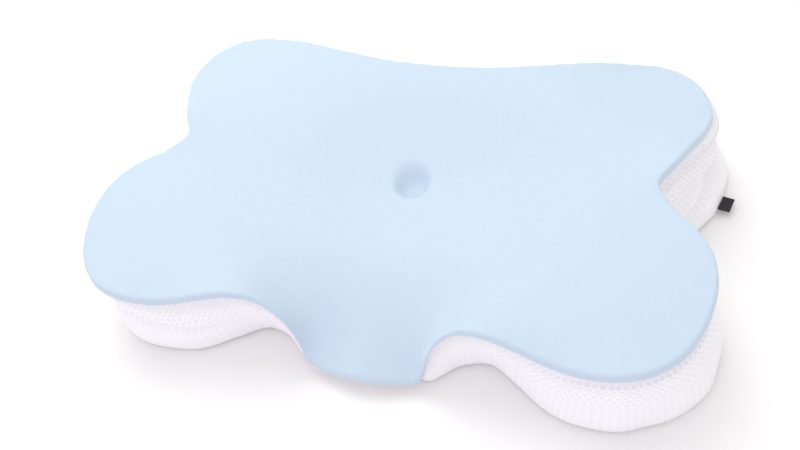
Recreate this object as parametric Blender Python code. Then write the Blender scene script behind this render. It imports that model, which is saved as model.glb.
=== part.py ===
"""Cervical pillow with four wings, a head cradle and a front tongue, in metres, +Z up.

The pillow lies on its base. +X runs along its length, -Y is the front, where the neck and shoulders come.
The origin is on the floor under the middle of its box.
Four pieces are built: the filled cushion and, sewn over it, the blue top panel, the white side border
and a side tab.
"""

import bpy
import numpy as np
from math import pi

MM = 0.001

# Cloth and seams
CLOTH_THICK = 1.6 * MM
PIECE_GAP = 0.45 * MM
PANEL_EDGE_ROUND = 12.0 * MM
FOOT_ROUND = 7.0 * MM
BORDER_END = 2.0 * MM
FOOT_HEIGHTS = (1.5 * MM, 0.4 * MM, 0.0)
EDGE_SHARE_OF_HEIGHT = 0.4

# Head cradle: the wide, shallow hollow in the middle of the top
CRADLE_CENTRE = (0.0, -6.0 * MM)
CRADLE_HALF_LENGTH = 150.0 * MM
CRADLE_HALF_WIDTH = 108.0 * MM
CRADLE_DEPTH = 37.0 * MM

# Each wing is a little fuller than its seam
WING_CROWN = 4.0 * MM
WING_CROWN_REACH = 75.0 * MM
WING_MIDDLES = ((212.0 * MM, 112.0 * MM), (232.0 * MM, -98.0 * MM))

# Chute of the front tongue, which falls from the cradle to the front edge between two steep walls
CHUTE_DEPTH = 80.0 * MM
CHUTE_START = -68.0 * MM
CHUTE_LENGTH = 122.0 * MM
CHUTE_BEND = 1.4
CHUTE_HALF_WIDTH = 66.0 * MM
CHUTE_FLARE = 0.55
WALL_WIDTH = 12.0 * MM
WALL_FLARE = 0.30

# Finger-deep dimple that draws the top panel down at the middle of the cradle
DIMPLE_CENTRE = (0.0, 11.0 * MM)
DIMPLE_RADIUS = 19.0 * MM
DIMPLE_DEPTH = 11.0 * MM
DIMPLE_FLATNESS = 1.3

# Side border profile, as shares of the way down from the top seam to the base
LIP_AT = 0.10
LIP_WIDTH = 0.09
WAIST_AT = 0.36
WAIST_WIDTH = 0.15
SKIRT_AT = 0.80
SKIRT_WIDTH = 0.16
SKIRT_BULGE = 3.0 * MM
SIDE_STEPS = (0.08, 0.16, 0.26, 0.38, 0.52, 0.68, 0.85, 1.0)

# Side tab sewn into the border near the base of the right back wing
TAB_NEAR = (303.0 * MM, 86.0 * MM)
TAB_WIDTH = 17.0 * MM
TAB_REACH = 12.0 * MM
TAB_THICK = 1.4 * MM
TAB_HEIGHT = 8.0 * MM
TAB_EDGE = 0.4 * MM

SMOOTH_ANGLE = pi / 5

# Sections round one half, from the middle of the back to the middle of the front, in millimetres:
# place, seam x, seam y, seam height, foot x, foot y, lip out, waist in, and how much further out the foot
# of the right side has settled than the left
SECTIONS = (
    ("back middle", 0, 147, 106, 0, 147, 1, 6, 0),
    ("back", 59, 150, 106, 59, 150, 1, 6, 0),
    ("back", 116, 160, 106, 117, 160, 1, 6, 0),
    ("back wing root", 173, 174, 102, 174, 174, 1, 6, 0),
    ("back wing", 200, 183, 94, 203, 183, 1, 7, 0),
    ("back wing tip", 231, 189, 87, 233, 185, 2, 8, 0),
    ("back wing tip", 258, 177, 87, 262, 177, 3, 9, 0),
    ("back wing side", 278, 152, 88, 288, 162, 4, 9, 1),
    ("back wing side", 286, 126, 88, 302, 136, 4, 10, 4),
    ("back wing side", 282, 97, 93, 303, 104, 4, 10, 3),
    ("arm notch", 271, 70, 99, 298, 75, 2, 10, 2),
    ("arm notch", 259, 42, 103, 283, 48, 0, 10, 1),
    ("arm notch middle", 247, 17, 100, 272, 23, 0, 9, 0),
    ("arm notch", 263, -6, 97, 272, -6, 0, 9, 0),
    ("front wing side", 284, -26, 97, 289, -30, 0, 9, 0),
    ("front wing side", 301, -50, 96, 305, -52, 0, 9, 1),
    ("front wing side", 308, -77, 95, 314, -79, 0, 9, 4),
    ("front wing tip", 307, -105, 94, 308, -106, 0, 9, 9),
    ("front wing tip", 300, -134, 92, 299, -128, 0, 9, 14),
    ("front wing tip", 286, -160, 90, 280, -157, 0, 9, 10),
    ("front wing end", 264, -180, 90, 260, -173, 0, 9, 5),
    ("front wing end", 238, -189, 89, 235, -183, 0, 9, 5),
    ("front wing end", 209, -189, 86, 198, -183, 0, 8, 4),
    ("shoulder notch", 179, -183, 87, 171, -176, 0, 6, 1),
    ("shoulder notch", 151, -176, 92, 142, -157, 0, 4, 0),
    ("shoulder notch middle", 123, -171, 96, 115, -141, 0, 3, 0),
    ("shoulder notch", 96, -167, 88, 88, -148, 0, 2, 0),
    ("tongue side", 75, -169, 66, 73, -162, 0, 1, 0),
    ("tongue side", 64, -173, 39, 61, -171, 0, 0, 0),
    ("tongue corner", 55, -180, 15, 49, -180, 0, 0, 0),
    ("tongue front", 26, -188, 14, 24, -185, 0, 0, 0),
    ("tongue middle", 0, -191, 17, 0, -185, 0, 0, 0),
)

# Grid round the pillow and across its top: the rings of the inner top have half as many points,
# and those of the dimple a quarter
ROUND_STEPS = 120
RIM_SHARES = (0.0, 0.11, 0.38, 0.8, 1.35)
INNER_SHARES = (0.88, 0.73, 0.57, 0.41, 0.27)
DIMPLE_RINGS = (24.0 * MM, 17.0 * MM, 10.5 * MM, 4.5 * MM)

BLUE = (0.66, 0.80, 0.93, 1.0)
WHITE = (0.90, 0.89, 0.91, 1.0)
BLACK = (0.015, 0.015, 0.018, 1.0)


def clear_scene():
    for thing in list(bpy.data.objects):
        bpy.data.objects.remove(thing)


def cloth_material(name, colour, roughness):
    """A plain woven cloth: its colour, its roughness and no metal."""
    material = bpy.data.materials.new(name)
    material.use_nodes = True
    shader = material.node_tree.nodes["Principled BSDF"]
    shader.inputs["Base Color"].default_value = colour
    shader.inputs["Roughness"].default_value = roughness
    shader.inputs["Metallic"].default_value = 0.0
    return material


def closed_spline(rows, steps):
    """A smooth closed curve through the rows, read at even steps of its length in space.

    Each stretch is a cubic whose slopes at its ends are the Catmull-Rom slopes over chord lengths.
    """
    chord = np.linalg.norm((np.roll(rows, -1, 0) - rows)[:, :3], axis=1)
    before = np.roll(chord, 1)
    slope_in = (rows - np.roll(rows, 1, 0)) / before[:, None]
    slope_out = (np.roll(rows, -1, 0) - rows) / chord[:, None]
    share = (chord / (chord + before))[:, None]
    slope = slope_in * share + slope_out * (1 - share)
    fine = 24
    t = (np.arange(fine) / fine)[None, :, None]
    p0, p1 = rows[:, None], np.roll(rows, -1, 0)[:, None]
    m0, m1 = slope[:, None] * chord[:, None, None], np.roll(slope, -1, 0)[:, None] * chord[:, None, None]
    cubic = (
        p0 * (2 * t**3 - 3 * t**2 + 1)
        + m0 * (t**3 - 2 * t**2 + t)
        + p1 * (3 * t**2 - 2 * t**3)
        + m1 * (t**3 - t**2)
    )
    line = cubic.reshape(-1, rows.shape[1])
    line = np.vstack([line, line[:1]])
    length = np.r_[0, np.cumsum(np.linalg.norm(np.diff(line[:, :3], axis=0), axis=1))]
    at = np.linspace(0, length[-1], steps, endpoint=False)
    return np.column_stack([np.interp(at, length, line[:, c]) for c in range(line.shape[1])])


def outline():
    """Seam points, foot points, lip and waist all the way round: the right half, then its mirror."""
    half = np.array([row[1:] for row in SECTIONS], float) * MM
    mirror = half[1:-1][::-1].copy()
    mirror[:, [0, 3]] *= -1
    mirror[:, 7] = 0
    ring = closed_spline(np.vstack([half, mirror]), ROUND_STEPS)
    seam, foot, lip, waist, settled = ring[:, 0:3], ring[:, 3:5], ring[:, 5], ring[:, 6], ring[:, 7]
    return seam, foot + outward(foot) * settled[:, None], lip, waist


def outward(plan):
    """Unit plan normal of a closed clockwise curve, pointing out of it."""
    along = np.roll(plan, -1, 0) - np.roll(plan, 1, 0)
    along = (np.roll(along, 1, 0) + 2 * along + np.roll(along, -1, 0)) / 4
    normal = np.column_stack([-along[:, 1], along[:, 0]])
    return normal / np.linalg.norm(normal, axis=1)[:, None]


def mean_value(points, rim, values):
    """Heights at plan points, carried in from the rim: each rim value counts by the mean value weights,
    the half-angle tangents either side of it over its distance."""
    spoke = rim[None] - points[:, None]
    reach = np.linalg.norm(spoke, axis=2)
    following = np.roll(spoke, -1, 1)
    cross = spoke[..., 0] * following[..., 1] - spoke[..., 1] * following[..., 0]
    dot = (spoke * following).sum(2)
    half_tan = np.tan(np.arctan2(cross, dot) / 2)
    weight = (half_tan + np.roll(half_tan, 1, 1)) / reach
    return (weight * values).sum(1) / weight.sum(1)


def bell(distance):
    """A soft bell: 1 at the middle, falling as a Gaussian."""
    return np.exp(-(distance**2))


def chute(points):
    """How far the tongue's chute lies below the top at plan points: deeper towards the front, and level
    across between its walls, which spread and soften away from the front edge."""
    along = np.clip((CHUTE_START - points[:, 1]) / CHUTE_LENGTH, 0, None)
    inwards = CHUTE_LENGTH * (1 - along)
    half_width = CHUTE_HALF_WIDTH + CHUTE_FLARE * inwards
    wall = WALL_WIDTH + WALL_FLARE * inwards
    across = (1 - np.tanh((np.abs(points[:, 0]) - half_width) / wall)) / 2
    return CHUTE_DEPTH * along**CHUTE_BEND * across


def hollow(points):
    """How far the cradle and the chute lie below the top at plan points."""
    across = (points[:, 0] - CRADLE_CENTRE[0]) / CRADLE_HALF_LENGTH
    back = (points[:, 1] - CRADLE_CENTRE[1]) / CRADLE_HALF_WIDTH
    return CRADLE_DEPTH * bell(np.hypot(across, back)) + chute(points)


def edge_round(height):
    """Radius of the top's rolled edge, smaller where the pillow is thin."""
    return np.minimum(PANEL_EDGE_ROUND, EDGE_SHARE_OF_HEIGHT * height)


def crown(points):
    """How far the four wings stand up at plan points."""
    high = 0
    for across, back in WING_MIDDLES:
        away = np.hypot(np.abs(points[:, 0]) - across, points[:, 1] - back)
        high = high + WING_CROWN * bell(away / WING_CROWN_REACH)
    return high


def top_height(points, seam, inset):
    """Height of the top panel at plan points inside the seam.

    The seam's heights, with the hollow filled up, are carried inwards. Then the wings are crowned, and the
    hollow and the dimple are sunk. inset is the way in from the seam as a share of the rolled edge's
    radius: below 1 the top rolls down a quarter round to the seam.
    """
    rim = seam[:, :2]
    roll = edge_round(seam[:, 2])
    height = mean_value(points, rim, seam[:, 2] + roll + hollow(rim) - crown(rim))
    height = height + crown(points) - hollow(points)
    away = np.hypot(points[:, 0] - DIMPLE_CENTRE[0], points[:, 1] - DIMPLE_CENTRE[1])
    height = height - DIMPLE_DEPTH * bell((away / DIMPLE_RADIUS) ** 2 * DIMPLE_FLATNESS)
    short = max(1 - inset, 0)
    return height - roll * (1 - np.sqrt(1 - short**2)) if short else height


def top_rings(seam):
    """The dimple's middle, and rings of points from it out over the top to the seam."""
    rim = seam[:, :2]
    normal = outward(rim)
    centre = np.array(DIMPLE_CENTRE)
    roll = edge_round(seam[:, 2])[:, None]
    spoke = rim - normal * roll * RIM_SHARES[-1] - centre
    direction = spoke / np.linalg.norm(spoke, axis=1)[:, None]
    plans = [(centre + direction * radius, 1) for radius in reversed(DIMPLE_RINGS)]
    plans += [(centre + spoke * share, 1) for share in reversed(INNER_SHARES)]
    plans += [(rim - normal * roll * share, share) for share in reversed(RIM_SHARES[1:])]
    rings = [np.column_stack([plan, top_height(plan, seam, inset)]) for plan, inset in plans]
    pole = np.array([centre])
    return np.column_stack([pole, top_height(pole, seam, 1)])[0], np.array([*rings, seam])


def thinned(rings):
    """The top's rings with every fourth point kept in the dimple and every second one on the inner top."""
    steps = [4] * len(DIMPLE_RINGS) + [2] * len(INNER_SHARES) + [1] * len(RIM_SHARES)
    return [ring[::step] for ring, step in zip(rings, steps)]


def surface_normals(rings):
    """Unit normals of a ring grid, pointing up and out."""
    around = np.roll(rings, -1, 1) - np.roll(rings, 1, 1)
    outwards = np.gradient(rings, axis=0)
    outwards[-1] = rings[-1] - rings[-2]
    normal = np.cross(outwards, around)
    normal = normal / np.linalg.norm(normal, axis=2)[..., None]
    return -normal if normal[0, :, 2].mean() < 0 else normal


def side_rings(seam, foot, lip, waist):
    """Rings of the outside from just under the top seam down to the floor.

    Between the seam and the foot the plan point moves evenly, pushed out at the lip under the seam and at
    the skirt, drawn in at the waist, and tucked under by a quarter round at the floor. The first list is
    the border's, and the second the strip of base that shows below it.
    """
    middle = outward((seam[:, :2] + foot) / 2)
    under = edge_round(seam[:, 2]) / PANEL_EDGE_ROUND * FOOT_ROUND

    def ring_at(height):
        share = 1 - height / seam[:, 2]
        plan = seam[:, :2] + (foot - seam[:, :2]) * share[:, None]
        out = lip * bell((share - LIP_AT) / LIP_WIDTH)
        out = out - waist * bell((share - WAIST_AT) / WAIST_WIDTH)
        out = out + SKIRT_BULGE * (waist / waist.max()) * bell((share - SKIRT_AT) / SKIRT_WIDTH)
        tuck = np.clip(1 - height / under, 0, 1)
        out = out - under * (1 - np.sqrt(1 - tuck**2))
        return np.column_stack([plan + middle * out[:, None], height + 0 * under])

    border = [ring_at(seam[:, 2] + (under - seam[:, 2]) * step) for step in SIDE_STEPS]
    border.append(ring_at(BORDER_END))
    return border, [ring_at(height) for height in FOOT_HEIGHTS]


def band(ring, following, start):
    """Triangles between two rings, of which one may have half the other's points.

    Between like rings each four-sided patch is cut along its shorter diagonal.
    """
    few, many = sorted((len(ring), len(following)))
    a = np.arange(few)
    b = (a + 1) % few
    if few == many:
        c, d = a + few, b + few
        one, other = ring - following[b], ring[b] - following
        short = (np.linalg.norm(one, axis=1) <= np.linalg.norm(other, axis=1))[:, None]
        upper = np.where(short, np.column_stack([a, b, d]), np.column_stack([a, b, c]))
        lower = np.where(short, np.column_stack([a, d, c]), np.column_stack([b, d, c]))
        return [start + upper, start + lower]
    # The fuller ring's points 2a, 2a + 1 and 2b stand over the other's a and b
    p, q, r = 2 * a, 2 * a + 1, 2 * b
    if len(ring) == few:
        p, q, r = p + few, q + few, r + few
        triangles = [(a, q, p), (a, b, q), (b, r, q)]
    else:
        a, b = a + many, b + many
        triangles = [(p, q, a), (q, b, a), (q, r, b)]
    return [start + np.column_stack(three) for three in triangles]


def closed_mesh(name, rings, poles, material, outer_rings):
    """One closed solid of triangles between its rings, which end in a fan at each pole.

    With no poles the last ring joins the first, as round a belt. The patches are cut as those of
    outer_rings are, so that two parallel sheets are cut alike.
    """
    start = 1 if poles else 0
    faces = []
    joined = outer_rings[1:] if poles else outer_rings[1:] + outer_rings[:1]
    for ring, following in zip(outer_rings, joined):
        faces += band(ring, following, start)
        start += len(ring)
    points = np.vstack(rings)
    if poles:
        points = np.vstack([[poles[0]], points, [poles[1]]])
        here = np.arange(len(rings[0]))
        faces.append(np.column_stack([0 * here, 1 + (here + 1) % len(here), 1 + here]))
        here = np.arange(len(rings[-1]))
        last = len(points) - 1
        after = last - len(here)
        faces.append(np.column_stack([last + 0 * here, after + here, after + (here + 1) % len(here)]))
    faces = np.vstack(faces) % len(points)
    mesh = bpy.data.meshes.new(name)
    mesh.from_pydata(points.tolist(), [], faces.tolist())
    mesh.shade_smooth()
    mesh.set_sharp_from_angle(angle=SMOOTH_ANGLE)
    thing = bpy.data.objects.new(name, mesh)
    thing.data.materials.append(material)
    bpy.context.scene.collection.objects.link(thing)


def build_pillow():
    """The top panel and the border, seam to seam, and the cushion that fills them."""
    seam, foot, lip, waist = outline()
    pole, top = top_rings(seam)
    top_normal = surface_normals(top)
    # At the seam both cloths stand upright, and the border starts a gap away, square to the seam
    upright = np.column_stack([outward(seam[:, :2]), 0 * seam[:, 2]])
    top_normal[-1] = upright
    along = np.roll(seam, -1, 0) - np.roll(seam, 1, 0)
    down = np.cross(upright, along)
    down *= -np.sign(down[:, 2:]) / np.linalg.norm(down, axis=1)[:, None]
    border, base = side_rings(seam, foot, lip, waist)
    side = np.array([seam + down * PIECE_GAP, *border])
    side_normal = surface_normals(side)
    side_normal[:4] = upright
    lift = np.array([0, 0, 1.0])

    face = thinned(top)
    back = thinned(top - top_normal * CLOTH_THICK)
    blue = cloth_material("blue_cool_cloth", BLUE, 0.75)
    poles = (pole, pole - lift * CLOTH_THICK)
    closed_mesh("top_panel", face + back[::-1], poles, blue, face + face[::-1])

    belt = list(side)
    inside = list(side - side_normal * CLOTH_THICK)
    white = cloth_material("white_mesh_cloth", WHITE, 0.85)
    closed_mesh("mesh_border", belt + inside[::-1], None, white, belt + belt[::-1])

    sink = CLOTH_THICK + PIECE_GAP
    filling = thinned(top - top_normal * sink)[:-1] + list(side - side_normal * sink) + base
    poles = (pole - lift * sink, np.array([*DIMPLE_CENTRE, 0.0]))
    under = cloth_material("white_base_cloth", WHITE, 0.9)
    closed_mesh("filled_cushion", filling, poles, under, face[:-1] + belt + base)
    return side


def build_tab(side):
    """A small folded tab whose root lies along the nearest stretch of the border."""
    level = int(np.argmin([abs(np.median(ring[:, 2]) - TAB_HEIGHT) for ring in side]))
    start = side[level][:, :2]
    run = np.roll(start, -1, 0) - start
    share = np.clip(((TAB_NEAR - start) * run).sum(1) / (run * run).sum(1), 0, 1)
    nearest = start + share[:, None] * run
    spot = int(np.argmin(np.linalg.norm(nearest - TAB_NEAR, axis=1)))
    along = run[spot] / np.linalg.norm(run[spot])
    out = np.array([-along[1], along[0]])
    bpy.ops.mesh.primitive_cube_add(size=1)
    tab = bpy.context.object
    tab.name = "side_tab"
    tab.scale = (TAB_WIDTH, TAB_REACH, TAB_THICK)
    tab.rotation_euler = (0, 0, np.arctan2(along[1], along[0]))
    tab.location = (*(nearest[spot] + out * (PIECE_GAP + TAB_REACH / 2)), TAB_HEIGHT)
    bpy.ops.object.transform_apply(location=False, rotation=False, scale=True)
    soften = tab.modifiers.new("soft_edges", "BEVEL")
    soften.width = TAB_EDGE
    soften.segments = 1
    tab.data.materials.append(cloth_material("black_tab_weave", BLACK, 0.7))


clear_scene()
build_tab(build_pillow())
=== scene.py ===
"""Cervical pillow on a plain studio floor, in metres, +Z up.

The pillow lies on its base. +X runs along its length, -Y is the front, where the tongue slopes down.
Each piece of the cover is a closed sheet, and the foam under it is one filled cushion.
"""

import bpy
import numpy as np
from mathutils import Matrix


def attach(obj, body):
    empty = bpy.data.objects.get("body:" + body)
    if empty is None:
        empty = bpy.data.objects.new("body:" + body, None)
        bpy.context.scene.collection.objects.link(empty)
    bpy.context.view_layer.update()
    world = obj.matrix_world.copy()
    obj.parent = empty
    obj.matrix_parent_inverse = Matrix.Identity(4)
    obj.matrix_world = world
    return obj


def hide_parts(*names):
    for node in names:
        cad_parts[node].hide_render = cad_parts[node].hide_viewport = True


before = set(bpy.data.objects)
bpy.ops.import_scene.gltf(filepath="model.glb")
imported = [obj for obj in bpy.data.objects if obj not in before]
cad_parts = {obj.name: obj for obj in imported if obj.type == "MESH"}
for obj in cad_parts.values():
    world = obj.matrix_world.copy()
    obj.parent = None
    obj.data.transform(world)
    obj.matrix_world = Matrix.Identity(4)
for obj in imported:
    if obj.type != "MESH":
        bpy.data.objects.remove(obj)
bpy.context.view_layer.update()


# Camera: a 46 degree lens about a metre away, 50 degrees above the floor, to the right of the front,
# and rolled a little, as the photograph was taken.
camera_azimuth = np.radians(27.31)
camera_elevation = np.radians(49.73)
camera_roll = np.radians(14.16)
camera_distance = 0.9911
camera_target = np.array([-0.0064, -0.0183, 0.04])
camera_view = np.radians(45.197)

back = np.array([
    np.sin(camera_azimuth) * np.cos(camera_elevation),
    -np.cos(camera_azimuth) * np.cos(camera_elevation),
    np.sin(camera_elevation),
])
level = np.array([np.cos(camera_azimuth), np.sin(camera_azimuth), 0])
upward = np.cross(back, level)
frame_right = np.cos(camera_roll) * level - np.sin(camera_roll) * upward
frame_up = np.sin(camera_roll) * level + np.cos(camera_roll) * upward
camera_place = np.eye(4)
camera_place[:3, 0] = frame_right
camera_place[:3, 1] = frame_up
camera_place[:3, 2] = back
camera_place[:3, 3] = camera_target + back * camera_distance
camera_lens = bpy.data.cameras.new("camera")
camera_lens.sensor_fit = "HORIZONTAL"
camera_lens.angle = camera_view
camera = bpy.data.objects.new("camera", camera_lens)
camera.matrix_world = camera_place.T.tolist()
bpy.context.scene.collection.objects.link(camera)
bpy.context.scene.camera = camera


# Foam cushion: one block of moulded memory foam with four wings, a head cradle and a sloping tongue.
# Its cover hides it, apart from the base cloth glued under it, whose edge shows at the floor.
# The plan of the seam and of the foot, and the heights of the top, shape the cover's pieces too.
MM = 0.001
COVER_SINK = 2.1 * MM
FOAM_INSIDE = np.array([0, 0, 30.0]) * MM
BASE_EDGE_HEIGHTS = (1.7 * MM, 1.1 * MM, 0.5 * MM, 0.1 * MM, 0.0)
BASE_SHARES = (0.985, 0.93, 0.8, 0.6, 0.4, 0.2)
CRADLE_CENTRE = (0.0, -6.0 * MM)
CRADLE_HALF_LENGTH = 150.0 * MM
CRADLE_HALF_WIDTH = 108.0 * MM
CRADLE_DEPTH = 37.0 * MM
WING_CROWN = 4.0 * MM
WING_CROWN_REACH = 75.0 * MM
WING_MIDDLES = ((212.0 * MM, 112.0 * MM), (232.0 * MM, -98.0 * MM))
CHUTE_DEPTH = 80.0 * MM
CHUTE_START = -68.0 * MM
CHUTE_LENGTH = 122.0 * MM
CHUTE_BEND = 1.4
CHUTE_HALF_WIDTH = 66.0 * MM
CHUTE_FLARE = 0.55
CHUTE_WALL = 12.0 * MM
CHUTE_WALL_FLARE = 0.30
DIMPLE_CENTRE = (3.0 * MM, 14.5 * MM)
DIMPLE_RADIUS = 16.5 * MM
DIMPLE_DEPTH = 13.0 * MM
DIMPLE_STEEPNESS = 2.3
DIMPLE_LEAN = 0.9
DIMPLE_STEEP_SIDE = np.radians(-60)
TOP_EDGE_ROUND = 8.0 * MM
TOP_EDGE_SHARE = 0.4
TOP_EDGE_WIDTH = 0.75
TOP_EDGE_SQUARE = 3.2
FOOT_ROUND = 7.0 * MM
WELT_BELOW, WELT_WIDTH, WELT_OUT = 2.2 * MM, 1.4 * MM, 0.7 * MM
GROOVE_BELOW, GROOVE_WIDTH, GROOVE_IN = 12.0 * MM, 6.0 * MM, 14.0 * MM
GROOVE_LEFT_SHARE, GROOVE_WAIST_LESS = 0.35, 0.6
LIP_BELOW, LIP_WIDTH, LIP_SCALE = 6.5 * MM, 6.0 * MM, 1.3
WAIST_AT, WAIST_WIDTH, WAIST_MOST = 0.36, 0.15, 10.0 * MM
WAIST_DROP, WAIST_DROP_AT, WAIST_DROP_REACH = 0.20, (284.0 * MM, 106.0 * MM), 40.0 * MM
SKIRT_AT, SKIRT_WIDTH, SKIRT_BULGE = 0.80, 0.16, 3.0 * MM
TONGUE_THIN, TONGUE_TUCK = 30.0 * MM, 1.4 * MM

# Creases pressed into the side, in millimetres and shares of the way down: where each starts and ends,
# clockwise round the pillow, its depth and its width
CREASES = (
    ("right arm notch", (286, 122), 0.50, (259, 26), 0.74, 10.0, 7.0),
    ("right shoulder notch", (186, -184), 0.80, (138, -174), 0.84, 2.0, 2.6),
    ("left shoulder notch", (-138, -174), 0.66, (-272, -174), 0.40, 6.0, 4.5),
)

# Sections round one half, from the middle of the back to the middle of the front, in millimetres:
# place, seam x, seam y, seam height, foot x, foot y, lip out, waist in, and how much further out the foot
# of the right side has settled than the left
SECTIONS = (
    ("back middle", 0, 147, 106, 0, 147, 1, 6, 0),
    ("back", 59, 150, 106, 59, 150, 1, 6, 0),
    ("back", 116, 160, 106, 117, 160, 1, 6, 0),
    ("back wing root", 173, 174, 102, 174, 174, 1, 6, 0),
    ("back wing", 200, 183, 94, 203, 183, 1, 7, 0),
    ("back wing tip", 231, 189, 87, 233, 185, 2, 8, 0),
    ("back wing tip", 258, 177, 87, 262, 177, 3, 9, 0),
    ("back wing side", 278, 152, 88, 288, 162, 4, 9, 1),
    ("back wing side", 286, 126, 88, 302, 136, 4, 10, 4),
    ("back wing side", 282, 97, 93, 303, 104, 4, 10, 3),
    ("arm notch", 271, 70, 99, 298, 75, 2, 10, 2),
    ("arm notch", 259, 42, 103, 283, 48, 0, 10, 1),
    ("arm notch middle", 247, 17, 100, 272, 23, 0, 9, 0),
    ("arm notch", 263, -6, 97, 272, -6, 0, 9, 0),
    ("front wing side", 284, -26, 97, 289, -30, 0, 9, 0),
    ("front wing side", 301, -50, 96, 303, -52, 0, 9, 3),
    ("front wing side", 308, -77, 95, 308, -79, 0, 9, 10),
    ("front wing tip", 307, -105, 94, 301, -105, 0, 9, 16),
    ("front wing tip", 300, -133, 92, 293, -126, 0, 9, 20),
    ("front wing tip", 286, -159, 90, 277, -154, 0, 9, 14),
    ("front wing end", 264, -178, 90, 260, -173, 0, 9, 5),
    ("front wing end", 238, -187, 89, 235, -183, 0, 9, 5),
    ("front wing end", 209, -187, 86, 198, -183, 0, 8, 4),
    ("shoulder notch", 179, -182, 87, 171, -176, 0, 6, 1),
    ("shoulder notch", 151, -176, 92, 142, -157, 0, 4, 0),
    ("shoulder notch middle", 123, -171, 96, 115, -141, 0, 3, 0),
    ("shoulder notch", 96, -167, 88, 88, -148, 0, 2, 0),
    ("tongue side", 75, -169, 66, 73, -162, 0, 1, 0),
    ("tongue side", 64, -173, 39, 61, -171, 0, 0, 0),
    ("tongue corner", 55, -180, 15, 44, -168, 0, 0, 0),
    ("tongue front", 26, -188, 14, 23, -172, 0, 0, 0),
    ("tongue middle", 0, -191, 17, 0, -173, 0, 0, 0),
)


def closed_spline(rows, steps):
    """Smooth closed curve through the rows, read at even steps of its length in space: on each stretch a
    cubic whose end slopes are the Catmull-Rom slopes over chord lengths."""
    chord = np.linalg.norm((np.roll(rows, -1, 0) - rows)[:, :3], axis=1)
    before = np.roll(chord, 1)
    slope_in = (rows - np.roll(rows, 1, 0)) / before[:, None]
    slope_out = (np.roll(rows, -1, 0) - rows) / chord[:, None]
    share = (chord / (chord + before))[:, None]
    slope = slope_in * share + slope_out * (1 - share)
    t = (np.arange(60) / 60)[None, :, None]
    p0, p1 = rows[:, None], np.roll(rows, -1, 0)[:, None]
    m0, m1 = slope[:, None] * chord[:, None, None], np.roll(slope, -1, 0)[:, None] * chord[:, None, None]
    cubic = (
        p0 * (2 * t**3 - 3 * t**2 + 1)
        + m0 * (t**3 - 2 * t**2 + t)
        + p1 * (3 * t**2 - 2 * t**3)
        + m1 * (t**3 - t**2)
    )
    line = cubic.reshape(-1, rows.shape[1])
    line = np.vstack([line, line[:1]])
    length = np.r_[0, np.cumsum(np.linalg.norm(np.diff(line[:, :3], axis=0), axis=1))]
    at = np.linspace(0, length[-1], steps, endpoint=False)
    return np.column_stack([np.interp(at, length, line[:, c]) for c in range(line.shape[1])])


def outward(plan, spread=5 * MM):
    """Unit plan normal of a closed clockwise curve, pointing out of it: its direction, turned left, after a
    Gaussian blur of this spread along the curve."""
    along = np.roll(plan, -1, 0) - np.roll(plan, 1, 0)
    waves = np.fft.fftfreq(len(plan), np.linalg.norm(along, axis=1).mean() / 2)
    blur = np.exp(-2 * (np.pi * waves * spread) ** 2)[:, None]
    along = np.fft.ifft(np.fft.fft(along, axis=0) * blur, axis=0).real
    normal = np.column_stack([-along[:, 1], along[:, 0]])
    return normal / np.linalg.norm(normal, axis=1)[:, None]


def pillow_outline(steps):
    """Seam points, foot points, lip and waist at even steps all the way round: the right half, then its
    mirror."""
    half = np.array([row[1:] for row in SECTIONS], float) * MM
    mirror = half[1:-1][::-1].copy()
    mirror[:, [0, 3]] *= -1
    mirror[:, 7] = 0
    ring = closed_spline(np.vstack([half, mirror]), steps)
    seam, foot, lip, waist, settled = ring[:, 0:3], ring[:, 3:5], ring[:, 5], ring[:, 6], ring[:, 7]
    return seam, foot + outward(foot) * settled[:, None], lip, waist


def bell(distance):
    """A soft bell: 1 at the middle, falling as a Gaussian."""
    return np.exp(-(distance**2))


def mean_value(points, rim, values):
    """Heights at plan points, carried in from the rim: each rim value counts by the mean value weights, the
    half-angle tangents either side of it over its distance."""
    spoke = rim[None] - points[:, None]
    reach = np.linalg.norm(spoke, axis=2)
    following = np.roll(spoke, -1, 1)
    cross = spoke[..., 0] * following[..., 1] - spoke[..., 1] * following[..., 0]
    dot = (spoke * following).sum(2)
    half_tan = np.tan(np.arctan2(cross, dot) / 2)
    weight = (half_tan + np.roll(half_tan, 1, 1)) / reach
    return (weight * values).sum(1) / weight.sum(1)


def hollow(points):
    """How far the top is sunk at plan points: a bell for the cradle, and for the tongue a chute that falls
    as a power of the way to the front edge, level across between two tanh walls that spread inwards."""
    across = (points[:, 0] - CRADLE_CENTRE[0]) / CRADLE_HALF_LENGTH
    behind = (points[:, 1] - CRADLE_CENTRE[1]) / CRADLE_HALF_WIDTH
    along = np.clip((CHUTE_START - points[:, 1]) / CHUTE_LENGTH, 0, None)
    inwards = CHUTE_LENGTH * (1 - along)
    half_width = CHUTE_HALF_WIDTH + CHUTE_FLARE * inwards
    wall = CHUTE_WALL + CHUTE_WALL_FLARE * inwards
    floor_share = (1 - np.tanh((np.abs(points[:, 0]) - half_width) / wall)) / 2
    return CRADLE_DEPTH * bell(np.hypot(across, behind)) + CHUTE_DEPTH * along**CHUTE_BEND * floor_share


def crown(points):
    """How far the four wings stand up at plan points: a bell on each."""
    high = 0
    for across, behind in WING_MIDDLES:
        away = np.hypot(np.abs(points[:, 0]) - across, points[:, 1] - behind)
        high = high + WING_CROWN * bell(away / WING_CROWN_REACH)
    return high


def edge_round(height):
    """Radius of the top's rolled edge, smaller where the pillow is thin."""
    return np.minimum(TOP_EDGE_ROUND, TOP_EDGE_SHARE * height)


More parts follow.
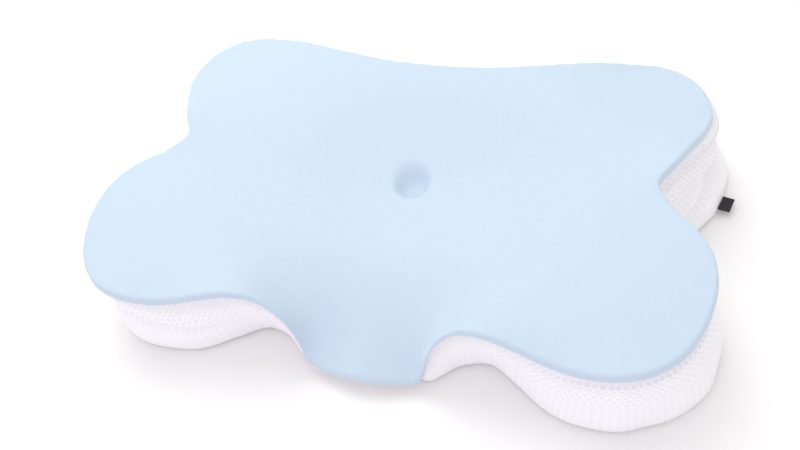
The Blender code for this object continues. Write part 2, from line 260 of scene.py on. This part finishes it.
def top_height(points, seam, inset):
    """Height of the top at plan points: the seam's heights carried inwards, the wings crowned, the hollow
    and the dimple sunk. inset is the way in from the seam as a share of the rolled edge's radius: below 1
    the top rolls down to the seam, along a quarter of a squarish superellipse."""
    rim = seam[:, :2]
    roll = edge_round(seam[:, 2])
    height = mean_value(points, rim, seam[:, 2] + roll + hollow(rim) - crown(rim))
    height = height + crown(points) - hollow(points)
    across, behind = points[:, 0] - DIMPLE_CENTRE[0], points[:, 1] - DIMPLE_CENTRE[1]
    facing = np.cos(np.arctan2(behind, across) - DIMPLE_STEEP_SIDE)
    away = np.hypot(across, behind) / DIMPLE_RADIUS
    height = height - DIMPLE_DEPTH * bell(away ** (DIMPLE_STEEPNESS + DIMPLE_LEAN * facing))
    short = max(1 - inset, 0)
    return height - roll * (1 - (1 - short**TOP_EDGE_SQUARE) ** (1 / TOP_EDGE_SQUARE)) if short else height


def top_grid(seam, dimple_rings, inner_shares, rim_shares):
    """The dimple's middle, and rings of points from it out over the top to the seam: circles in the dimple,
    spokes over the middle, and offsets of the seam on the rolled edge."""
    rim = seam[:, :2]
    normal = outward(rim, 14 * MM)
    centre = np.array(DIMPLE_CENTRE)
    roll = edge_round(seam[:, 2])[:, None] * TOP_EDGE_WIDTH
    spoke = rim - normal * roll * rim_shares[0] - centre
    direction = spoke / np.linalg.norm(spoke, axis=1)[:, None]
    plans = [(centre + direction * radius, 1) for radius in dimple_rings]
    start = direction * dimple_rings[-1]
    plans += [(centre + start + (spoke - start) * share, 1) for share in inner_shares]
    plans += [(rim - normal * roll * share, share) for share in rim_shares]
    rings = [np.column_stack([plan, top_height(plan, seam, inset)]) for plan, inset in plans]
    pole = np.array([centre])
    return np.column_stack([pole, top_height(pole, seam, 1)])[0], np.array([*rings, seam])


def creased(seam, share):
    """How far the creases draw the side in: along a line that slants down it, a bell-shaped valley, with half
    as high a ridge just above, both fading at the line's ends."""
    depth = 0 * share
    here = np.arange(len(seam))
    for _, start, start_share, end, end_share, deep, wide in CREASES:
        first, last = (np.argmin(np.linalg.norm(seam[:, :2] - np.array(at) * MM, axis=1)) for at in (start, end))
        along = (here - first) / (last - first)
        off = (share - start_share - (end_share - start_share) * along) * seam[:, 2] / (wide * MM)
        fade = np.clip(along / 0.2, 0, 1) * np.clip((1 - along) / 0.2, 0, 1)
        depth = depth + deep * MM * fade * (bell(off) - 0.5 * bell(off + 1.7))
    return depth


def side_ring(seam, foot, lip, waist, height):
    """One ring of the side at a height: the plan point moves evenly from seam to foot, pushed out by bells
    at the seam's welt, the lip and the skirt, drawn in by bells at the groove and the waist, and tucked
    under by a quarter round. The groove is deepest where the waist is, and fades where the lip stands out."""
    middle = outward((seam[:, :2] + foot) / 2)
    under = edge_round(seam[:, 2]) / TOP_EDGE_ROUND * FOOT_ROUND
    share = 1 - height / seam[:, 2]
    below = seam[:, 2] - height
    plan = seam[:, :2] + (foot - seam[:, :2]) * share[:, None]
    free = np.clip(below / (1 * MM), 0, 1)
    drawn = np.clip(waist / WAIST_MOST, 0, 1)
    out = LIP_SCALE * lip * bell((below - LIP_BELOW) / LIP_WIDTH)
    out = out + WELT_OUT * bell((below - WELT_BELOW) / WELT_WIDTH) * np.clip(seam[:, 2] / 0.08, 0, 1)
    grooved = drawn**2 * np.clip(-0.8 - seam[:, 1] / 0.06, 0, 1)
    grooved = grooved * np.clip(0.5 + seam[:, 0] / 0.2, GROOVE_LEFT_SHARE, 1)
    out = out - GROOVE_IN * grooved * bell((below - GROOVE_BELOW) / GROOVE_WIDTH) - creased(seam, share)
    waist = waist * (1 - GROOVE_WAIST_LESS * grooved)
    from_drop = np.hypot(np.abs(seam[:, 0]) - WAIST_DROP_AT[0], seam[:, 1] - WAIST_DROP_AT[1])
    waist_at = WAIST_AT + WAIST_DROP * bell(from_drop / WAIST_DROP_REACH)
    out = out - waist * bell((share - waist_at) / WAIST_WIDTH)
    out = out + SKIRT_BULGE * drawn * bell((share - SKIRT_AT) / SKIRT_WIDTH)
    out = out - TONGUE_TUCK * np.clip(2 - 2 * seam[:, 2] / TONGUE_THIN, 0, 1)
    tuck = np.clip(1 - height / under, 0, 1)
    out = out * free - under * (1 - np.sqrt(1 - tuck**2))
    return np.column_stack([plan + middle * out[:, None], height + 0 * under])


def grid_normals(rings):
    """Unit normals of a ring grid, pointing away from the inside of the foam: the cross product of the
    grid's two directions."""
    around = np.roll(rings, -1, 1) - np.roll(rings, 1, 1)
    outwards = np.gradient(rings, axis=0)
    normal = np.cross(outwards, around)
    normal = normal / np.linalg.norm(normal, axis=2)[..., None]
    return normal * np.sign((normal * (rings - FOAM_INSIDE)).sum())


def closed_rings(name, rings, poles, material, sharp_degrees=50):
    """A closed mesh of four-sided faces between rings of points. With poles each end is a fan, and without
    them the last ring joins the first. Its UV map is the way round in metres, and the way down the rings."""
    count, around = len(rings), len(rings[0])
    points = np.vstack(rings)
    here = np.arange(around)
    after = (here + 1) % around
    joins = count - 1 if poles is not None else count
    first = np.arange(joins)[:, None] * around
    second = (np.arange(joins)[:, None] + 1) % count * around
    quads = np.stack([first + here, first + after, second + after, second + here], 2).reshape(-1, 4)
    down = np.linalg.norm(np.diff(np.array(rings), axis=0), axis=2).mean(1)
    down = np.r_[0, np.cumsum(down), down.sum()]
    step = np.linalg.norm(np.roll(rings[0], -1, 0) - rings[0], axis=1).mean()
    u = np.stack([here, here + 1, here + 1, here], 1)[None] * step + np.zeros((joins, 1, 1))
    v = np.stack([down[:joins], down[:joins], down[1:joins + 1], down[1:joins + 1]], 1)[:, None] + 0 * u
    uv = np.stack([u, v], 3).reshape(-1, 2)
    faces = quads.tolist()
    if poles is not None:
        points = np.vstack([points, poles])
        top, foot = len(points) - 2, len(points) - 1
        last = (count - 1) * around
        fans = [np.column_stack([0 * here + top, after, here])]
        fans.append(np.column_stack([0 * here + foot, last + here, last + after]))
        faces += np.vstack(fans).tolist()
        uv = np.vstack([uv, np.zeros((6 * around, 2))])
    mesh = bpy.data.meshes.new(name)
    mesh.from_pydata(points.tolist(), [], faces)
    mesh.uv_layers.new(name="cloth").data.foreach_set("uv", uv.astype(np.float32).ravel())
    mesh.shade_smooth()
    mesh.set_sharp_from_angle(angle=np.radians(sharp_degrees))
    mesh.materials.append(material)
    piece = bpy.data.objects.new(name, mesh)
    bpy.context.scene.collection.objects.link(piece)
    return piece


class Socket:
    """A value in a material's node tree. Python's + - * / on it add Math nodes."""

    def __init__(self, tree, socket):
        self.tree = tree
        self.socket = socket

    def node(self, kind, values, output=0, **settings):
        """Adds a node with its settings, then its sockets' values or links, and wraps one output."""
        made = self.tree.nodes.new(kind)
        for key, setting in settings.items():
            setattr(made, key, setting)
        for key, value in values.items():
            if isinstance(value, Socket):
                self.tree.links.new(value.socket, made.inputs[key])
            else:
                made.inputs[key].default_value = value
        return Socket(self.tree, made.outputs[output])

    def maths(self, operation, *values):
        return self.node("ShaderNodeMath", dict(enumerate((self, *values))), operation=operation)

    def __add__(self, other):
        return self.maths("ADD", other)

    __radd__ = __add__

    def __sub__(self, other):
        return self.maths("SUBTRACT", other)

    def __rsub__(self, other):
        return (self * -1).maths("ADD", other)

    def __mul__(self, other):
        return self.maths("MULTIPLY", other)

    __rmul__ = __mul__

    def __truediv__(self, other):
        return self.maths("DIVIDE", other)

    def step(self, low, high):
        """0 below low, 1 above high, and a smooth step between."""
        values = {"Value": self, "From Min": low, "From Max": high}
        return self.node("ShaderNodeMapRange", values, interpolation_type="SMOOTHSTEP")

    def noise(self, scale, detail=2.0):
        """Soft noise of this many waves a metre, read at this place."""
        return self.node("ShaderNodeTexNoise", {"Vector": self, "Scale": scale, "Detail": detail})

    def mix(self, first, second):
        """first where this is 0, second where it is 1."""
        return self.node("ShaderNodeMix", {0: self, 6: first, 7: second}, output=2, data_type="RGBA")


def new_finish(name, roughness, sheen, sheen_tint):
    """A cloth finish: its shader, and its tree's Object place and UV map as sockets."""
    material = bpy.data.materials.new(name)
    material.use_nodes = True
    tree = material.node_tree
    shader = tree.nodes["Principled BSDF"]
    shader.inputs["Roughness"].default_value = roughness
    shader.inputs["Sheen Weight"].default_value = sheen
    shader.inputs["Sheen Roughness"].default_value = 0.5
    shader.inputs["Sheen Tint"].default_value = sheen_tint
    shader.inputs["Specular IOR Level"].default_value = 0.25
    coordinates = tree.nodes.new("ShaderNodeTexCoord")
    return material, shader, Socket(tree, coordinates.outputs["Object"]), Socket(tree, coordinates.outputs["UV"])


def finish_with(shader, colour, height, depth):
    """Links a colour, and a bump of this depth in metres, to the shader."""
    height.tree.links.new(colour.socket, shader.inputs["Base Color"])
    bump = height.node("ShaderNodeBump", {"Height": height, "Strength": 1.0, "Distance": depth})
    height.tree.links.new(bump.socket, shader.inputs["Normal"])


def base_cloth_finish():
    """White knitted base cloth: fine ribs across the pillow every 1.6 mm, a little uneven."""
    material, shader, place, _ = new_finish("base_cloth", 0.9, 0.2, (1, 1, 1, 1))
    split = place.node("ShaderNodeSeparateXYZ", {"Vector": place})
    ribs = (split * (2 * np.pi / 0.0016)).maths("SINE") * 0.5 + 0.5
    uneven = place.noise(90.0)
    colour = (ribs * 0.4 + uneven * 0.4).mix((0.74, 0.73, 0.74, 1), (0.90, 0.89, 0.90, 1))
    finish_with(shader, colour, ribs * 0.7 + uneven * 0.6, 0.0003)
    return material


DIMPLE_RINGS_FOAM = np.linspace(3, 30, 8) * MM
seam, foot, lip, waist = pillow_outline(360)
foam_pole, foam_top = top_grid(seam, DIMPLE_RINGS_FOAM, np.linspace(0, 1, 26)[1:-1], np.linspace(1.35, 0.1, 8))
foam_heights = [seam[:, 2] * (1 - share) + 2 * MM * share for share in np.linspace(0.03, 1, 24)]
foam_side = np.array([side_ring(seam, foot, lip, waist, height) for height in foam_heights])
lift = np.array([0, 0, 1.0])
foam_rings = list((foam_top - grid_normals(foam_top) * COVER_SINK)[:-1])
foam_rings += list(foam_side - grid_normals(foam_side) * COVER_SINK)
foam_rings += [side_ring(seam, foot, lip, waist, height) for height in BASE_EDGE_HEIGHTS]
base_middle = np.array([*DIMPLE_CENTRE, 0.0])
foam_rings += [base_middle + (foam_rings[-1] - base_middle) * share for share in BASE_SHARES]
foam_poles = np.array([foam_pole - lift * COVER_SINK, base_middle])
foam_cushion = closed_rings("foam_cushion", foam_rings, foam_poles, base_cloth_finish())
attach(foam_cushion, "root")
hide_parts("filled_cushion")


# Top panel: one piece of smooth pale blue cooling knit, cut in the butterfly shape and stretched over the
# foam, so that it shows the cradle, the dimple and the tongue. It rolls over the edge to the seam.
PANEL_THICK = 1.6 * MM
PANEL_ROUND = 480
PUCKER_DEPTH = 0.35 * MM
PANEL_BLUE_LIGHT = (0.535, 0.640, 0.738, 1)
PANEL_BLUE_DEEP = (0.508, 0.617, 0.725, 1)
KNIT_WALE = 1.5 * MM
KNIT_COURSE = 1.15 * MM


def knit_finish():
    """Blue jersey knit: columns of stitches 1.5 mm wide, each a V 1.15 mm high, under a faint satin sheen,
    with soft cloudy variation in its colour."""
    material, shader, place, _ = new_finish("cooling_knit", 0.62, 0.35, (0.9, 0.96, 1, 1))
    across = place.node("ShaderNodeSeparateXYZ", {"Vector": place})
    behind = place.node("ShaderNodeSeparateXYZ", {"Vector": place}, output=1)
    wale = (across / KNIT_WALE).maths("FRACT") - 0.5
    rib = 1 - wale.maths("ABSOLUTE") * 2
    stitch = (behind / KNIT_COURSE + wale.maths("ABSOLUTE") * 1.2).maths("FRACT") - 0.5
    loop = 1 - stitch.maths("ABSOLUTE") * 2
    yarn = rib.step(0.0, 0.7) * loop.step(0.0, 0.8)
    cloudy = place.noise(9.0, 3.0)
    fuzz = place.noise(420.0)
    tone = yarn * 0.35 + cloudy * 0.8 + fuzz * 0.25 - 0.2
    colour = tone.mix(PANEL_BLUE_DEEP, PANEL_BLUE_LIGHT)
    finish_with(shader, colour, yarn + fuzz * 0.6, 0.00012)
    return material


seam, foot, lip, waist = pillow_outline(PANEL_ROUND)
dimple_rings = np.linspace(1.5, 33, 20) * MM
inner_shares = np.linspace(0, 1, 38)[1:-1]
rim_shares = 1.35 * (1 - np.linspace(0, 1, 24)[:-1]) ** 2.0
panel_pole, panel = top_grid(seam, dimple_rings, inner_shares, rim_shares)
panel_normal = grid_normals(panel)
panel_normal[-1] = np.column_stack([outward(seam[:, :2]), 0 * seam[:, 2]])
round_at = np.arange(PANEL_ROUND) / PANEL_ROUND * 2 * np.pi
pucker = np.sin(97 * round_at) + 0.7 * np.sin(61 * round_at + 1.7) + 0.5 * np.sin(143 * round_at + 0.4)
near_seam = np.r_[np.zeros(len(panel) - len(rim_shares) - 1), np.sin(np.linspace(0, np.pi, len(rim_shares) + 1))]
panel = panel + panel_normal * (PUCKER_DEPTH / 2 * pucker[None, :] * near_seam[:, None] ** 2)[..., None]
panel_under = panel - panel_normal * PANEL_THICK
panel_poles = np.array([panel_pole, panel_pole - lift * PANEL_THICK])
top_cloth = closed_rings("top_cloth", [*panel, *panel_under[::-1]], panel_poles, knit_finish())
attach(top_cloth, "root")
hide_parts("top_panel")


# Border: one long strip of white air mesh, sewn to the top panel along the upper edge and to the base below.
# Its rounded lip stands just under the seam, the foam's waist draws it in, and its lower part bulges out.
# The knit is a spongy layer with staggered rows of soft dimples.
BORDER_THICK = 1.6 * MM
BORDER_ROUND = 960
BORDER_ROWS = 50
SEAM_GAP = 0.45 * MM
BORDER_END = 2.0 * MM
MESH_PITCH_ROUND = 6.6 * MM
MESH_PITCH_DOWN = 4.4 * MM
MESH_WHITE = (0.90, 0.885, 0.91, 1)
MESH_GREY = (0.77, 0.76, 0.79, 1)


def air_mesh_finish(pitch_round, pitch_down):
    """White air mesh: staggered rows of soft round dimples in a spongy knit, with painted shade greying it in a band
    just under the seam. Lower down it is stretched, so that the dimples fade and the ribs stand out."""
    material, shader, place, cloth = new_finish("air_mesh", 0.85, 0.25, (1, 1, 1, 1))
    along = cloth.node("ShaderNodeSeparateXYZ", {"Vector": cloth})
    down = cloth.node("ShaderNodeSeparateXYZ", {"Vector": cloth}, output=1)
    row = down / pitch_down
    odd = row.maths("FLOOR").maths("FLOORED_MODULO", 2.0)
    x = ((along / pitch_round + odd * 0.5).maths("FRACT") - 0.5) * (pitch_round / (1.75 * MM))
    y = (row.maths("FRACT") - 0.5) * (pitch_down / (1.45 * MM))
    hole = 1 - (x * x + y * y).maths("SQRT").step(0.45, 1.25)
    sponge = place.noise(900.0, 3.0)
    cloudy = place.noise(22.0)
    stretched = down.step(0.035, 0.060)
    dimple = hole * (1 - stretched * 0.75)
    ribs = ((along * (2 * np.pi / pitch_round)).maths("SINE") * 0.5 + 0.5) * (stretched * 0.8 + 0.1)
    # Painted shade: the mesh is greyed in a band just under the seam, where the top panel's edge shades it.
    seam_painted_shade = 1 - down.step(0.006, 0.034)
    shade = dimple * 0.6 + (1 - sponge) * 0.2 + cloudy * 0.25 + ribs * 0.3 + seam_painted_shade * 0.8 - 0.2
    colour = shade.mix(MESH_WHITE, MESH_GREY)
    finish_with(shader, colour, sponge * 0.3 - dimple - ribs * 0.5, 0.00045)
    return material


seam, foot, lip, waist = pillow_outline(BORDER_ROUND)
shares = np.linspace(0, 1, BORDER_ROWS) ** 1.4
border_heights = [seam[:, 2] * (1 - share) + BORDER_END * share for share in shares]
border = np.array([side_ring(seam, foot, lip, waist, height) for height in border_heights])
border[0] = seam
border[:, :, 2] -= np.exp(-np.arange(BORDER_ROWS) / 3.0)[:, None] * SEAM_GAP
border_normal = grid_normals(border)
border_normal[0] = np.column_stack([outward(seam[:, :2]), 0 * seam[:, 2]])
border_under = border - border_normal * BORDER_THICK
whole_cells = np.linalg.norm(np.roll(seam, -1, 0) - seam, axis=1).sum()
whole_cells = whole_cells / round(whole_cells / MESH_PITCH_ROUND)
mesh_cloth = closed_rings(
    "mesh_cloth", [*border, *border_under[::-1]], None, air_mesh_finish(whole_cells, MESH_PITCH_DOWN)
)
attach(mesh_cloth, "root")
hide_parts("mesh_border")


# Seam thread: the row of small white overlock stitches that closes the seam between panel and border. Round
# the tongue's low edge the seam is turned under, and its stitches are hidden.
STITCH_PITCH = 3.0 * MM
STITCH_LENGTH = 2.5 * MM
STITCH_RADIUS = 0.38 * MM
STITCH_OUT = -0.2 * MM


def thread_finish():
    """White spun thread: fine twist, a little sheen."""
    material, shader, place, _ = new_finish("seam_thread", 0.6, 0.2, (1, 1, 1, 1))
    twist = place.noise(2600.0)
    colour = twist.mix((0.80, 0.79, 0.81, 1), (0.92, 0.91, 0.93, 1))
    finish_with(shader, colour, twist, 0.0001)
    return material


def stitch_row(name, middles, along, side, material):
    """One small bead a stitch: rings of six points whose radius follows a half circle along the stitch,
    closed at both tips by a fan."""
    way = np.linspace(-1, 1, 7)[1:-1]
    turn = np.arange(6) / 6 * 2 * np.pi
    up = np.cross(along, side)
    radius = STITCH_RADIUS * np.sqrt(1 - way**2)
    ring = (
        middles[:, None, None] + along[:, None, None] * (way * STITCH_LENGTH / 2)[None, :, None, None]
        + side[:, None, None] * (radius[:, None] * np.cos(turn))[None, :, :, None]
        + up[:, None, None] * (radius[:, None] * np.sin(turn))[None, :, :, None]
    )
    tips = middles[:, None] + along[:, None] * np.array([-1, 1])[None, :, None] * STITCH_LENGTH / 2
    points = np.concatenate([ring.reshape(len(middles), -1, 3), tips], 1)
    here, after = np.arange(6), (np.arange(6) + 1) % 6
    row = np.arange(len(way) - 1)[:, None] * 6
    sides = np.stack([row + here, row + here + 6, row + after + 6, row + after], 2).reshape(-1, 4)
    last = (len(way) - 1) * 6
    start, end = len(way) * 6, len(way) * 6 + 1
    fans = np.vstack([
        np.column_stack([start + 0 * here, here, after]), np.column_stack([end + 0 * here, last + after, last + here])
    ])
    shift = np.arange(len(middles))[:, None, None] * points.shape[1]
    faces = (sides[None] + shift).reshape(-1, 4).tolist() + (fans[None] + shift).reshape(-1, 3).tolist()
    mesh = bpy.data.meshes.new(name)
    mesh.from_pydata(points.reshape(-1, 3).tolist(), [], faces)
    mesh.shade_smooth()
    mesh.materials.append(material)
    piece = bpy.data.objects.new(name, mesh)
    bpy.context.scene.collection.objects.link(piece)
    return piece


length_at = np.r_[0, np.cumsum(np.linalg.norm(np.roll(seam, -1, 0) - seam, axis=1))]
stitch_count = round(length_at[-1] / STITCH_PITCH)
stitch_at = np.arange(stitch_count) * length_at[-1] / stitch_count
closed_seam = np.vstack([seam, seam[:1]])
stitch_middle = np.column_stack([np.interp(stitch_at, length_at, closed_seam[:, c]) for c in range(3)])
stitch_along = np.roll(stitch_middle, -1, 0) - np.roll(stitch_middle, 1, 0)
stitch_along = stitch_along / np.linalg.norm(stitch_along, axis=1)[:, None]
stitch_side = np.column_stack([outward(stitch_middle[:, :2]), 0 * stitch_at])
stitched = stitch_middle[:, 2] > 1.5 * TONGUE_THIN
stitch_middle = stitch_middle + stitch_side * STITCH_OUT - lift * SEAM_GAP / 2
seam_thread = stitch_row(
    "seam_thread", stitch_middle[stitched], stitch_along[stitched], stitch_side[stitched], thread_finish()
)
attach(seam_thread, "root")


# Side tab: a short black woven ribbon, folded in half with its ends sewn into the border, near the floor
# at the right back wing. It is left plain.
TAB_NEAR = np.array([303.0, 86.0]) * MM
TAB_WIDTH = 17.0 * MM
TAB_REACH = 12.0 * MM
TAB_LAYER = 0.55 * MM
TAB_HEIGHT = 8.0 * MM


def ribbon_finish(along, out):
    """Black satin ribbon: fine ribs along its length, crossed by the picks of its weave. along and out are
    its plan directions, across its width and out of the border."""
    material, shader, place, _ = new_finish("tab_ribbon", 0.55, 0.15, (0.6, 0.6, 0.65, 1))
    across, reach = (
        place.node("ShaderNodeVectorMath", {0: place, 1: (*way, 0.0)}, output=1, operation="DOT_PRODUCT")
        for way in (along, out)
    )
    ribs = (across * (2 * np.pi / 0.0012)).maths("SINE") * 0.5 + 0.5
    picks = (reach * (2 * np.pi / 0.0009)).maths("SINE") * 0.5 + 0.5
    weave = ribs * 0.6 + picks * 0.4
    colour = weave.mix((0.008, 0.008, 0.010, 1), (0.028, 0.028, 0.034, 1))
    finish_with(shader, colour, weave, 0.00012)
    return material


near_foot = int(np.argmin(np.abs(np.median(border[:, :, 2], axis=1) - TAB_HEIGHT)))
tab_start = border[near_foot][:, :2]
tab_run = np.roll(tab_start, -1, 0) - tab_start
spot = int(np.argmin(np.linalg.norm(tab_start - TAB_NEAR, axis=1)))
tab_along = tab_run[spot] / np.linalg.norm(tab_run[spot])
tab_out = np.array([-tab_along[1], tab_along[0]])
turn = np.linspace(-np.pi / 2, np.pi / 2, 9)
half_gap = 0.35 * MM
straight = np.linspace(0, TAB_REACH - half_gap - TAB_LAYER, 12)
fold = half_gap * np.cos(turn)
path_out = np.r_[straight, straight[-1] + fold[1:-1], straight[::-1]]
path_up = np.r_[0 * straight - half_gap, half_gap * np.sin(turn[1:-1]), 0 * straight + half_gap]
path = np.column_stack([path_out, path_up])
path_side = np.gradient(path, axis=0)
path_side = np.column_stack([path_side[:, 1], -path_side[:, 0]])
path_side = path_side / np.linalg.norm(path_side, axis=1)[:, None]
profile = np.vstack([path, (path + path_side * TAB_LAYER)[::-1]])
widths = np.linspace(-TAB_WIDTH / 2, TAB_WIDTH / 2, 16)
ribbon_rings = []
for width in widths:
    plan = tab_start[spot] + tab_along * width + tab_out * (profile[:, :1] + 0.5 * MM)
    ribbon_rings.append(np.column_stack([plan, TAB_HEIGHT + profile[:, 1]]))
ribbon_count = len(profile)
ribbon_points = np.vstack(ribbon_rings)
column = np.arange(ribbon_count)
next_column = (column + 1) % ribbon_count
ribbon_first = np.arange(len(widths) - 1)[:, None] * ribbon_count
ribbon_faces = np.stack(
    [ribbon_first + column, ribbon_first + next_column, ribbon_first + ribbon_count + next_column,
     ribbon_first + ribbon_count + column], 2
).reshape(-1, 4)
half_count = ribbon_count // 2
edge = np.arange(half_count - 1)
edge_faces = np.column_stack([edge, ribbon_count - 1 - edge, ribbon_count - 2 - edge, edge + 1])
last_edge = (len(widths) - 1) * ribbon_count
ribbon_faces = np.vstack([ribbon_faces, edge_faces, edge_faces[:, ::-1] + last_edge])
ribbon_mesh = bpy.data.meshes.new("tab_loop")
ribbon_mesh.from_pydata(ribbon_points.tolist(), [], ribbon_faces.tolist())
ribbon_mesh.shade_smooth()
ribbon_mesh.set_sharp_from_angle(angle=np.radians(50))
ribbon_mesh.materials.append(ribbon_finish(tab_along, tab_out))
tab_loop = bpy.data.objects.new("tab_loop", ribbon_mesh)
bpy.context.scene.collection.objects.link(tab_loop)
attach(tab_loop, "root")
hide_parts("side_tab")


# Studio: a plain white floor that the pillow lies on, under a white sky and two broad soft lamps.
FLOOR_HALF = 6.0
SKY_STRENGTH = 0.94

floor_mesh = bpy.data.meshes.new("studio_floor")
corners = [(-FLOOR_HALF, -FLOOR_HALF, 0), (FLOOR_HALF, -FLOOR_HALF, 0), (FLOOR_HALF, FLOOR_HALF, 0)]
floor_mesh.from_pydata([*corners, (-FLOOR_HALF, FLOOR_HALF, 0)], [], [(0, 1, 2, 3)])
floor_finish = bpy.data.materials.new("floor_white")
floor_finish.use_nodes = True
floor_finish.node_tree.nodes["Principled BSDF"].inputs["Base Color"].default_value = (0.87, 0.86, 0.845, 1)
floor_finish.node_tree.nodes["Principled BSDF"].inputs["Roughness"].default_value = 0.8
floor_finish.node_tree.nodes["Principled BSDF"].inputs["Specular IOR Level"].default_value = 0.1
floor_mesh.materials.append(floor_finish)
studio_floor = bpy.data.objects.new("studio_floor", floor_mesh)
bpy.context.scene.collection.objects.link(studio_floor)

sky = bpy.data.worlds.new("sky")
sky.use_nodes = True
sky.node_tree.nodes["Background"].inputs["Color"].default_value = (1.0, 1.0, 1.0, 1)
sky.node_tree.nodes["Background"].inputs["Strength"].default_value = SKY_STRENGTH
bpy.context.scene.world = sky
bpy.context.scene.view_settings.view_transform = "Standard"

# name, place, aimed at, size in metres, watts, colour
LAMPS = (
    ("broad_lamp", (-0.8, 0.9, 1.7), (-0.1, 0.05, 0), 1.4, 13, (0.97, 1.0, 0.98)),
    ("top_lamp", (-0.15, 0.35, 1.6), (-0.05, 0, 0), 0.8, 4, (1.0, 1.0, 1.0)),
    ("front_lamp", (-0.1, -2.0, 1.1), (0, 0, 0.05), 2.0, 8, (0.80, 0.62, 1.0)),
)
for name, place, aim, size, watts, colour in LAMPS:
    light = bpy.data.lights.new(name, "AREA")
    light.size = size
    light.energy = watts
    light.color = colour
    lamp = bpy.data.objects.new(name, light)
    away = np.array(place) - np.array(aim)
    away = away / np.linalg.norm(away)
    sideways = np.cross([0, 0, 1.0], away)
    sideways = sideways / np.linalg.norm(sideways)
    lamp_place = np.eye(4)
    lamp_place[:3, 0] = sideways
    lamp_place[:3, 1] = np.cross(away, sideways)
    lamp_place[:3, 2] = away
    lamp_place[:3, 3] = place
    lamp.matrix_world = lamp_place.T.tolist()
    bpy.context.scene.collection.objects.link(lamp)
